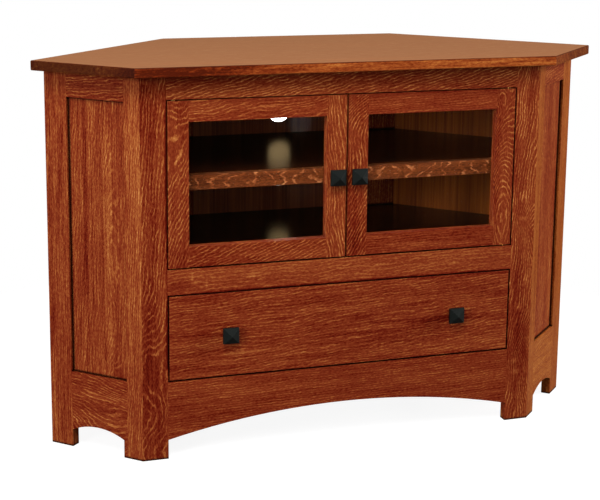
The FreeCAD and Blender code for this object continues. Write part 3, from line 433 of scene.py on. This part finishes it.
# Lighter and darker spots, by piece, some of them painted shade beside the gaps: where they are, half their
# size in mm, and their strength.
TONE_AND_GAP_SHADE_SPOTS = {
    "top_slab": ((-340, -244, 280, 60, -0.38), (230, -244, 220, 60, 0.04)),
    "side_panel_left": ((560, -268, 420, 9, -0.28), (420, -214, 420, 16, 0.12), (420, -232, 300, 8, -0.12),
                        (120, -222, 60, 22, 0.12), (200, -226, 70, 7, -0.2)),
    "side_front_stile_left": ((560, -150, 260, 18, 0.1),),
    "drawer_front": ((-215, 200, 60, 10, 0.16), (30, 226, 180, 9, 0.12), (215, 232, 170, 14, -0.22)),
    # Painted shade: the middle rail's last entry is a dark line along its lower edge, beside the drawer's
    # gap.
    "face_middle_rail": ((-330, 342, 50, 20, -0.12), (-308, 358, 4, 18, 0.2), (-302, 346, 14, 7, 0.22),
                         (-280, 342, 4, 16, 0.16), (-190, 352, 16, 12, 0.14), (-172, 346, 12, 8, 0.12),
                         (150, 345, 170, 12, 0.08), (0, 325, 700, 4, -0.5)),
    "door_left_hinge_stile": ((600, -333, 110, 40, 0.08), (392, -333, 50, 40, -0.14)),
    "door_right_lock_stile": ((410, 22, 70, 60, -0.12), (600, 22, 80, 60, 0.08)),
    # Painted shade: the left stile's last two entries are dark lines beside the gaps of the left door and the
    # drawer.
    "face_stile_left": ((130, -385, 190, 40, -0.12), (240, -356, 130, 5, -0.7), (536, -356, 240, 5, -0.7)),
    "face_stile_right": ((150, 380, 220, 60, -0.14), (330, 380, 50, 16, -0.08), (474, 378, 12, 12, 0.18),
                         (429, 380, 8, 13, 0.22), (299, 392, 20, 9, 0.2), (243, 378, 14, 14, 0.24),
                         (128, 374, 9, 11, 0.2), (104, 376, 10, 13, 0.18)),
}
# Each row: piece, grain direction, direction across, fleck tilt in degrees, fleck spacing in mm,
# swirl, fleck strength, tone, strength of the growth lines.
BOARDS = (
    ("top_slab", RIGHT, BACK, 4, 12, 3, 0.14, -0.01, 0.70),
    ("face_stile_left", UP, RIGHT, 6, 6, 3, 0.38, -0.04, 0.30),
    ("face_stile_right", UP, RIGHT, 8, 6, 4, 0.40, 0.02, 0.30),
    ("face_top_rail", RIGHT, UP, 16, 6, 3, 0.44, 0.03, 0.20),
    ("face_middle_rail", RIGHT, UP, 3, 7, 3, 0.24, 0.02, 0.25),
    ("face_bottom_rail", RIGHT, UP, 2, 5, 2, 0.25, -0.06, 0.35),
    ("side_front_stile_left", UP, LEFT_SIDE, 4, 5, 2, 0.26, 0.06, 0.45),
    ("side_rear_stile_left", UP, LEFT_SIDE, 2, 5, 1.5, 0.18, 0.03, 0.60),
    ("side_top_rail_left", LEFT_SIDE, UP, 8, 6, 3, 0.40, -0.02, 0.25),
    ("side_bottom_rail_left", LEFT_SIDE, UP, -10, 6, 4, 0.38, -0.02, 0.25),
    ("side_panel_left", UP, LEFT_SIDE, 5, 6, 3, 0.26, 0.02, 0.50),
    ("side_front_stile_right", UP, RIGHT_SIDE, 4, 5, 2, 0.25, 0.06, 0.25),
    ("side_rear_stile_right", UP, RIGHT_SIDE, 3, 5, 1.5, 0.20, 0.08, 0.25),
    ("side_top_rail_right", RIGHT_SIDE, UP, 8, 6, 3, 0.25, 0.06, 0.25),
    ("side_bottom_rail_right", RIGHT_SIDE, UP, 10, 6, 3, 0.20, 0.12, 0.25),
    ("side_panel_right", UP, RIGHT_SIDE, 5, 6, 3, 0.25, 0.03, 0.30),
    ("rear_post_left", UP, RIGHT, 4, 6, 3, 0.30, -0.02, 0.30),
    ("rear_post_right", UP, RIGHT, 4, 6, 3, 0.30, -0.02, 0.30),
    ("shelf_nosing", RIGHT, UP, 72, 30, 4.0, 0.46, -0.06, 0.30),
    ("door_left_hinge_stile", UP, RIGHT, 24, 6, 2.5, 0.40, 0.00, 0.25),
    ("door_left_lock_stile", UP, RIGHT, -6, 6, 4, 0.42, 0.04, 0.25),
    ("door_left_top_rail", RIGHT, UP, 8, 6, 5, 0.34, -0.04, 0.25),
    ("door_left_bottom_rail", RIGHT, UP, 22, 6, 3, 0.42, -0.04, 0.25),
    ("door_right_hinge_stile", UP, RIGHT, 0, 6, 2, 0.38, -0.03, 0.15),
    ("door_right_lock_stile", UP, RIGHT, 30, 6, 2, 0.46, -0.05, 0.20),
    ("door_right_top_rail", RIGHT, UP, 3, 5, 2, 0.22, -0.07, 0.35),
    ("door_right_bottom_rail", RIGHT, UP, 2, 5, 2, 0.22, -0.09, 0.35),
    ("door_left_glass_stops", UP, RIGHT, 4, 6, 3, 0.30, -0.05, 0.30),
    ("door_right_glass_stops", UP, RIGHT, 4, 6, 3, 0.30, -0.05, 0.30),
    ("drawer_front", RIGHT, UP, 5, 6, 4, 0.28, -0.04, 0.40),
)
OTHER_STAINS = {
    "top_slab": ORANGE_STAIN, "side_front_stile_right": ORANGE_STAIN, "side_rear_stile_right": ORANGE_STAIN,
    "side_bottom_rail_right": ORANGE_STAIN, "shelf_nosing": BROWN_STAIN,
}
for seed, (node, along, across, *figure) in enumerate(BOARDS):
    dress(node, quartersawn_oak("stained_oak_" + node, along, across, seed, *figure,
                                thin=NARROW_CREST if node == "shelf_nosing" else CREST,
                                stain=OTHER_STAINS.get(node, STAIN), paint_crevice_shade="door" not in node,
                                whorls=WHORLS.get(node, ()), tone_and_gap_shade=TONE_AND_GAP_SHADE_SPOTS.get(node, ())))
print(len(BOARDS), "oak boards, each with its own figure")

# %% [markdown]
# The upper face of the top is painted a lighter, plainer tan than its own edges: painted light and
# sheen for the overhead lamp that reaches it and for its satin finish. The ends of its boards come
# out at the slanted edges, and end grain drinks stain until it is nearly black.
# Mixing by the direction that the surface faces does both without cutting the piece up. The top is
# glued from boards, and each is a little lighter or darker than the next.

# %% Painted light on the upper face, and dark end grain of the top
tree = nodes["top_slab"].data.materials[0].node_tree
wood = next(node for node in tree.nodes if node.type == "BSDF_PRINCIPLED")
stained = wood.inputs["Base Color"].links[0].from_socket
facing = add_node(tree, "SeparateXYZ", links={0: add_node(tree, "TexCoord").outputs["Normal"]})
GLUED_BOARD = 92               # mm, the width of one board
BOARD_LIGHT = (0.75, 1.25)     # the darkest and the lightest board, against the stain
# Each row: part of the facing direction, where the change starts and ends, its share, its colour.
layers = (
    (facing.outputs["X"], -0.4, -0.7, 0.8, "#2c0d05"),     # end grain on the left
    (facing.outputs["X"], 0.4, 0.7, 0.45, "#3c1407"),      # and on the right, where it shows less
    (facing.outputs["Z"], 0.3, 0.5, 0.8, "#3c1206"),       # stain left on the eased arris
    (facing.outputs["Z"], 0.9, 1.0, 0.5, "#d69063"),       # painted light and sheen on the upper face
)
place = add_node(tree, "SeparateXYZ", links={0: board_place(tree, RIGHT, BACK)})
board = add_node(tree, "Math", {"operation": "SNAP", 1: GLUED_BOARD}, {0: place.outputs["Y"]})
luck = add_node(tree, "TexWhiteNoise", {"noise_dimensions": "1D"}, {"W": board.outputs[0]})
bright = add_node(tree, "MapRange", {"To Min": BOARD_LIGHT[0], "To Max": BOARD_LIGHT[1]},
                  {"Value": luck.outputs["Value"]})
glued = add_node(tree, "VectorMath", {"operation": "SCALE"}, {0: stained, "Scale": bright.outputs[0]})
stained = glued.outputs[0]
for direction, start, end, share, code in layers:
    part = add_node(tree, "MapRange", {"From Min": start, "From Max": end, "To Max": share},
                    {"Value": direction})
    tint = add_node(tree, "Mix", {"data_type": "RGBA", COLOUR_B: colour(code)},
                    {FACTOR: part.outputs[0], COLOUR_A: stained})
    stained = tint.outputs[MIXED_COLOUR]
tree.links.new(stained, wood.inputs["Base Color"])
print(len(layers), "layers on the top, in boards of", GLUED_BOARD, "mm")

# %% [markdown]
# Inside, the boards are oak veneer with the same stain but hardly any light on them, so what shows
# there is darker than its colour is written. The back panel took the stain darker than the slanted
# ones. The shelf and the floors are painted nearly black, a dark stain made darker still as painted
# shade for the dark inside of the compartments. They got more lacquer than the upright boards, so
# they mirror the cord holes softly.

# %% Veneered boards inside
def veneered_board(name, along, across, seed, rough, gloss, dark, light):
    """Stained oak veneer under lacquer of the given roughness and gloss."""
    material, tree, output = new_material(name)
    place = board_place(tree, along, across)
    growth = stretched_noise(tree, place, 300, 5, 3.0, seed * 9.1)
    slow = stretched_noise(tree, place, 200, 60, 1.0, seed * 9.1 + 4.0)
    total = add_node(tree, "Math", {"operation": "MULTIPLY_ADD", 1: 0.6}, {0: slow, 2: growth})
    shade = add_node(tree, "MapRange", {"From Min": 0.5, "From Max": 1.1}, {"Value": total.outputs[0]})
    tint = add_node(tree, "Mix", {"data_type": "RGBA", COLOUR_A: colour(dark), COLOUR_B: colour(light)},
                    {FACTOR: shade.outputs[0]})
    bump = add_node(tree, "Bump", {"Strength": 0.15, "Distance": 0.0003}, {"Height": growth})
    wood = add_node(tree, "BsdfPrincipled",
                    {"Roughness": rough, "IOR": 1.5, "Specular IOR Level": gloss},
                    {"Base Color": tint.outputs[MIXED_COLOUR], "Normal": bump.outputs[0]})
    tree.links.new(wood.outputs[0], output.inputs["Surface"])
    return material


# Roughness, gloss, and the veneer's darkest and lightest colour.
WALL = (0.45, 0.12, "#762e0a", "#c8661e")
BACK_WALL = (0.45, 0.12, "#5e2210", "#a05028")
# Painted shade: the shelf and the floors are painted nearly black for the dark inside of the compartments.
LEVEL_IN_PAINTED_SHADE = (0.2, 0.5, "#1c0a05", "#3a1a0c")
INSIDE = (
    ("back_panel", UP, RIGHT, BACK_WALL), ("rear_corner_panel_left", UP, RIGHT_SIDE, WALL),
    ("rear_corner_panel_right", UP, LEFT_SIDE, WALL), ("cabinet_floor", RIGHT, BACK, LEVEL_IN_PAINTED_SHADE),
    ("compartment_floor", RIGHT, BACK, LEVEL_IN_PAINTED_SHADE), ("shelf_board", RIGHT, BACK, LEVEL_IN_PAINTED_SHADE),
    ("side_cleats", UP, LEFT_SIDE, WALL), ("back_cleats", RIGHT, UP, WALL),
    ("slide_cleat_left", BACK, UP, WALL), ("slide_cleat_right", BACK, UP, WALL),
)
for seed, (node, along, across, finish) in enumerate(INSIDE):
    dress(node, veneered_board("stained_veneer_" + node, along, across, seed, *finish))
print(len(INSIDE), "boards inside")

# %% [markdown]
# A drawer box is made of a plain pale hardwood such as soft maple, planed and lacquered clear, so
# that it stays smooth against what lies in it. Straight grain in warm cream is enough. The pattern
# fills a board's whole thickness, so the ends in the dovetails show it cut across, as end grain is.

# %% Clear lacquered maple
def lacquered_maple(name, along, across, seed):
    """Soft maple, planed and lacquered clear: pale, close grained and smooth."""
    material, tree, output = new_material(name)
    place = board_place(tree, along, across)
    growth = stretched_noise(tree, place, 240, 9, 3.0, seed * 5.3)
    fine = stretched_noise(tree, place, 30, 1.8, 2.0, seed * 5.3 + 2.0)
    total = add_node(tree, "Math", {"operation": "MULTIPLY_ADD", 1: 0.4}, {0: fine, 2: growth})
    shade = add_node(tree, "MapRange", {"From Min": 0.45, "From Max": 0.95}, {"Value": total.outputs[0]})
    tint = add_node(tree, "Mix",
                    {"data_type": "RGBA", COLOUR_A: colour("#e0bd8b"), COLOUR_B: colour("#c39a63")},
                    {FACTOR: shade.outputs[0]})
    bump = add_node(tree, "Bump", {"Strength": 0.12, "Distance": 0.0002}, {"Height": fine})
    wood = add_node(tree, "BsdfPrincipled", {"Roughness": 0.4, "IOR": 1.5, "Specular IOR Level": 0.4},
                    {"Base Color": tint.outputs[MIXED_COLOUR], "Normal": bump.outputs[0]})
    tree.links.new(wood.outputs[0], output.inputs["Surface"])
    return material


DRAWER_BOX = (
    ("drawer_box_front", RIGHT, UP), ("drawer_back", RIGHT, UP), ("drawer_side_left", BACK, UP),
    ("drawer_side_right", BACK, UP), ("drawer_bottom", RIGHT, BACK),
)
for seed, (node, along, across) in enumerate(DRAWER_BOX):
    dress(node, lacquered_maple("clear_maple_" + node, along, across, seed))
print(len(DRAWER_BOX), "drawer boards")

# %% [markdown]
# The doors hold clear float glass, 3 mm thick. Real refraction makes good highlights, but lamps
# cannot find their way through it, so shadow rays get a transparent shader instead. That keeps
# the inside lit and free of noise. Wiping leaves a faint haze, which softens what is mirrored.

# %% Clear float glass
CLEAR = "#f4f8f6"
glass, tree, output = new_material("clear_float_glass")
wipe = add_node(tree, "TexNoise", {"Scale": 9.0, "Detail": 2.0},
                {"Vector": add_node(tree, "TexCoord").outputs["Object"]})
haze = add_node(tree, "MapRange", {"To Min": 0.0, "To Max": 0.03}, {"Value": wipe.outputs["Fac"]})
pane = add_node(tree, "BsdfPrincipled",
                {"Base Color": colour(CLEAR), "IOR": 1.5, "Transmission Weight": 1.0,
                 "Specular IOR Level": 0.15},
                {"Roughness": haze.outputs[0]})
clear = add_node(tree, "BsdfTransparent", {"Color": colour(CLEAR)})
path = add_node(tree, "LightPath")
mixed = add_node(tree, "MixShader",
                 links={0: path.outputs["Is Shadow Ray"], 1: pane.outputs[0], 2: clear.outputs[0]})
tree.links.new(mixed.outputs[0], output.inputs["Surface"])
for side in ("left", "right"):
    dress(f"door_{side}_glass", glass)
print("glass in both doors")

# %% [markdown]
# The knobs are cast iron, ground to low pyramids and blackened in oil. Cast iron keeps a fine sand
# skin under the black, so the facets show soft grey-green light and never a sharp mirror. A coat
# of black oxide hides the metal, so the surface is not metallic.

# %% Blackened cast iron
iron, tree, output = new_material("blackened_cast_iron")
here = add_node(tree, "TexCoord").outputs["Object"]
sand = add_node(tree, "TexNoise", {"Scale": 700.0, "Detail": 3.0}, {"Vector": here})
patch = add_node(tree, "TexNoise", {"Scale": 60.0, "Detail": 2.0}, {"Vector": here})
tint = add_node(tree, "Mix",
                {"data_type": "RGBA", COLOUR_A: colour("#070b09"), COLOUR_B: colour("#0f1713")},
                {FACTOR: patch.outputs["Fac"]})
rough = add_node(tree, "MapRange", {"To Min": 0.5, "To Max": 0.65}, {"Value": patch.outputs["Fac"]})
bump = add_node(tree, "Bump", {"Strength": 0.25, "Distance": 0.0001}, {"Height": sand.outputs["Fac"]})
skin = add_node(tree, "BsdfPrincipled", {"Metallic": 0.0, "IOR": 1.5, "Specular IOR Level": 0.18},
                {"Base Color": tint.outputs[MIXED_COLOUR], "Roughness": rough.outputs[0],
                 "Normal": bump.outputs[0]})
tree.links.new(skin.outputs[0], output.inputs["Surface"])
KNOBS = ("door_left_knob", "door_right_knob", "drawer_knob_left", "drawer_knob_right")
for node in KNOBS:
    dress(node, iron)
print(len(KNOBS), "blackened knobs")

# %% [markdown]
# The hardware that shows with a door or the drawer open is rolled zinc-plated steel for the slides
# and catch plates, and satin brass for the knife hinges. Both are metals with a direction: rolled
# steel has long faint streaks, and brushed brass has short ones.

# %% Zinc-plated steel and satin brass
ROUGH_SPREAD = 0.08    # how much duller and shinier than its mean a metal gets


def streaked_metal(name, low, high, per_metre, rough):
    """A metal with streaks from rolling or brushing, about per_metre of them in each direction."""
    material, tree, output = new_material(name)
    here = add_node(tree, "TexCoord").outputs["Object"]
    scaled = add_node(tree, "VectorMath", {"operation": "MULTIPLY", 1: per_metre}, {0: here})
    streak = add_node(tree, "TexNoise", {"Scale": 1.0, "Detail": 3.0}, {"Vector": scaled.outputs[0]})
    tint = add_node(tree, "Mix", {"data_type": "RGBA", COLOUR_A: colour(low), COLOUR_B: colour(high)},
                    {FACTOR: streak.outputs["Fac"]})
    dull = add_node(tree, "MapRange", {"To Min": rough - ROUGH_SPREAD, "To Max": rough + ROUGH_SPREAD},
                    {"Value": streak.outputs["Fac"]})
    bump = add_node(tree, "Bump", {"Strength": 0.1, "Distance": 0.0001}, {"Height": streak.outputs["Fac"]})
    metal = add_node(tree, "BsdfPrincipled", {"Metallic": 1.0},
                     {"Base Color": tint.outputs[MIXED_COLOUR], "Roughness": dull.outputs[0],
                      "Normal": bump.outputs[0]})
    tree.links.new(metal.outputs[0], output.inputs["Surface"])
    return material


steel = streaked_metal("zinc_plated_rolled_steel", "#a9adb0", "#d5d8da", (900, 14, 900), 0.32)
brass = streaked_metal("satin_brushed_brass", "#a98243", "#d9b36a", (60, 60, 1400), 0.35)
STEEL_PIECES = ("slide_cabinet_members", "slide_middle_members", "slide_drawer_members",
                "door_left_catch_plate", "door_right_catch_plate")
BRASS_PIECES = ("hinge_frame_leaves", "door_left_hinge_leaves", "door_right_hinge_leaves")
for node in STEEL_PIECES:
    dress(node, steel)
for node in BRASS_PIECES:
    dress(node, brass)
print("steel on", len(STEEL_PIECES), "pieces and brass on", len(BRASS_PIECES))

# %% [markdown]
# The magnetic catch under the top rail has a moulded ABS case in brown. Moulded plastic has an
# even colour with a fine spark-eroded texture, which takes the shine off it.

# %% Moulded brown ABS
plastic, tree, output = new_material("moulded_brown_abs")
grain = add_node(tree, "TexNoise", {"Scale": 1500.0, "Detail": 2.0},
                 {"Vector": add_node(tree, "TexCoord").outputs["Object"]})
tint = add_node(tree, "Mix",
                {"data_type": "RGBA", COLOUR_A: colour("#3a2416"), COLOUR_B: colour("#4a3020")},
                {FACTOR: grain.outputs["Fac"]})
rough = add_node(tree, "MapRange", {"To Min": 0.45, "To Max": 0.6}, {"Value": grain.outputs["Fac"]})
bump = add_node(tree, "Bump", {"Strength": 0.2, "Distance": 0.0001}, {"Height": grain.outputs["Fac"]})
case = add_node(tree, "BsdfPrincipled", {"IOR": 1.53},
                {"Base Color": tint.outputs[MIXED_COLOUR], "Roughness": rough.outputs[0],
                 "Normal": bump.outputs[0]})
tree.links.new(case.outputs[0], output.inputs["Surface"])
dress("magnetic_catch", plastic)
print("catch dressed")

# %% [markdown]
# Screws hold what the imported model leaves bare: the panels at the back, the magnetic catch and its
# plates, the hinge leaves, the knobs and the drawer's front. A head could be a cylinder, but it
# would look like a peg. Here it is four rings of points, from the rim up to a flat middle, and a
# cross for the driver is cut into that middle. The heads on one body are one piece, so that they
# move together.

# %% One screw head
RIM_POINTS = 16
DOME = ((1.0, 0.0), (0.95, 0.5), (0.75, 0.9), (0.58, 1.0))    # rings, as shares of radius and height
CROSS_CORNER = ((0.42, -0.11), (0.42, 0.11), (0.11, 0.11))    # a quarter of the cross, in radii
QUARTERS = (((1, 0), (0, 1)), ((0, 1), (-1, 0)), ((-1, 0), (0, -1)), ((0, -1), (1, 0)))    # its two axes
RECESS_FLOOR = 0.3                                            # a share of the height


def screw_head(mesh, centre, outward, radius, height):
    """Adds a domed head with a cross recess that stands on centre and faces outward."""
    place = Matrix.Translation(centre) @ outward.to_track_quat("Z", "Y").to_matrix().to_4x4()

    def ring(points, level):
        return [mesh.verts.new(place @ Vector((radius * x, radius * y, height * level))) for x, y in points]

    turns = [step * 2 * math.pi / RIM_POINTS for step in range(RIM_POINTS)]
    circle = [(math.cos(turn), math.sin(turn)) for turn in turns]
    dome = [ring([(share * x, share * y) for x, y in circle], level) for share, level in DOME]
    cross = [(x * x_axis[0] + y * y_axis[0], x * x_axis[1] + y * y_axis[1])
             for x_axis, y_axis in QUARTERS for x, y in CROSS_CORNER]
    recess = [ring(cross, 1.0), ring(cross, RECESS_FLOOR)]
    for low, high in (*zip(dome, dome[1:]), recess):
        for index in range(len(low)):
            mesh.faces.new((low[index - 1], low[index], high[index], high[index - 1]))
    mesh.faces.new(recess[1])
    rims = [mesh.edges.get((loop[index - 1], loop[index]))
            for loop in (dome[-1], recess[0]) for index in range(len(loop))]
    bmesh.ops.triangle_fill(mesh, edges=rims, use_beauty=True)


def screws(name, body, metal, size, heads):
    """Makes one piece of several heads, each with its place and direction, on a moving body."""
    slot, material = metal
    mesh = bmesh.new()
    for centre, outward in heads:
        screw_head(mesh, Vector(centre), outward, *size)
    bmesh.ops.recalc_face_normals(mesh, faces=mesh.faces)
    data = bpy.data.meshes.new(name)
    mesh.to_mesh(data)
    mesh.free()
    data.materials.append(material)
    piece = bpy.data.objects.new(name, data)
    bpy.context.scene.collection.objects.link(piece)
    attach(piece, body)
    print(name, "has", len(heads), "heads")


# %% [markdown]
# The panels at the back are screwed to the uprights along both edges. The places could be typed
# in, but they are measured from each panel's own corners, so that the heads sit on its face.

# %% Screws along the panels at the back
STEEL, BRASS = ("slide_steel", steel), ("hinge_brass", brass)    # a slot and its material
PANEL_SCREW = (0.0038, 0.0015)                                   # radius and height of a head in m
ROWS = (0.16, 0.295, 0.43, 0.565, 0.70)                          # heights above the floor
STRAIGHT_INSET, SLANTED_INSET = 0.006, 0.012                     # from a panel's edges
SAME_FACE = 0.0005                                               # points this close lie on one face


def along_upright_edges(node, outward, across, inset, levels):
    """Places on a panel's outer face, near its two upright edges and at the given heights."""
    corners = [vertex.co for vertex in nodes[node].data.vertices]
    depth = max(corner.dot(outward) for corner in corners)
    ends = [corner.dot(across) for corner in corners if corner.dot(outward) > depth - SAME_FACE]
    return [(outward * depth + across * place + UP * level, outward)
            for place in (min(ends) + inset, max(ends) - inset) for level in levels]


back_heads = along_upright_edges("back_panel", BACK, RIGHT, STRAIGHT_INSET, ROWS)
back_heads += along_upright_edges("rear_corner_panel_left", -LEFT_SIDE, RIGHT_SIDE, SLANTED_INSET, ROWS)
back_heads += along_upright_edges("rear_corner_panel_right", RIGHT_SIDE, LEFT_SIDE, SLANTED_INSET, ROWS)
screws("back_screws", "cabinet", STEEL, PANEL_SCREW, back_heads)

# %% [markdown]
# The other screws are small and show only with a door or the drawer open. Each stands on the back
# of a piece, whose box gives the depth, or on a hinge leaf. The leaves face each other 2.5 mm
# apart, so their screws are nearly flush. The knobs and the drawer's front are held from behind.
# Screws on a door or the drawer ride with it.

# %% Screws of the catch, hinges, knobs and drawer front
CATCH_SCREW, PLATE_SCREW, HINGE_SCREW = (0.003, 0.0012), (0.0026, 0.0002), (0.0028, 0.0004)
KNOB_SCREW, DRAWER_SCREW = (0.0042, 0.0014), (0.0042, 0.0018)
BESIDE_MIDDLE = 0.022                                         # the catch's screws, plates and knobs
CATCH_LEVEL, PLATE_LEVEL, KNOB_LEVEL = 0.712, 0.689, 0.536    # heights above the floor
LEAF_Y = sum(corner[1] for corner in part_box("hinge_frame_leaves")) / 2
LEAF_SCREWS = (0.3115, 0.3265)                                # from the middle
FRAME_LEAVES, DOOR_LEAVES = ((0.6975, -UP), (0.3745, UP)), ((0.695, UP), (0.377, -UP))
DRAWER_HEADS = ((-0.235, 0.2395), (0.235, 0.2395), (-0.15, 0.205), (-0.15, 0.27), (0.15, 0.205), (0.15, 0.27))

catch_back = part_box("magnetic_catch")[1][1]
screws("catch_screws", "cabinet", STEEL, CATCH_SCREW,
       [((x, catch_back, CATCH_LEVEL), BACK) for x in (-BESIDE_MIDDLE, BESIDE_MIDDLE)])
screws("hinge_frame_screws", "cabinet", BRASS, HINGE_SCREW,
       [((side * x, LEAF_Y, z), out) for side in (-1, 1) for x in LEAF_SCREWS for z, out in FRAME_LEAVES])
for name, side in (("left", -1), ("right", 1)):
    body = "door_" + name
    door_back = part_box(body + "_lock_stile")[1][1]
    plate_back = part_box(body + "_catch_plate")[1][1]
    screws(body + "_hinge_screws", body, BRASS, HINGE_SCREW,
           [((side * x, LEAF_Y, z), out) for x in LEAF_SCREWS for z, out in DOOR_LEAVES])
    screws(body + "_plate_screw", body, STEEL, PLATE_SCREW,
           [((side * BESIDE_MIDDLE, plate_back, PLATE_LEVEL), BACK)])
    screws(body + "_knob_screw", body, STEEL, KNOB_SCREW,
           [((side * BESIDE_MIDDLE, door_back, KNOB_LEVEL), BACK)])
box_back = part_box("drawer_box_front")[1][1]
screws("drawer_front_screws", "drawer", STEEL, DRAWER_SCREW,
       [((x, box_back, z), BACK) for x, z in DRAWER_HEADS])

# %% [markdown]
# Last, the pieces that got no finish are listed.

# %% List the pieces without a finish
undressed = [name for name, piece in nodes.items() if not piece.data.materials]
print("pieces without a finish:", undressed)
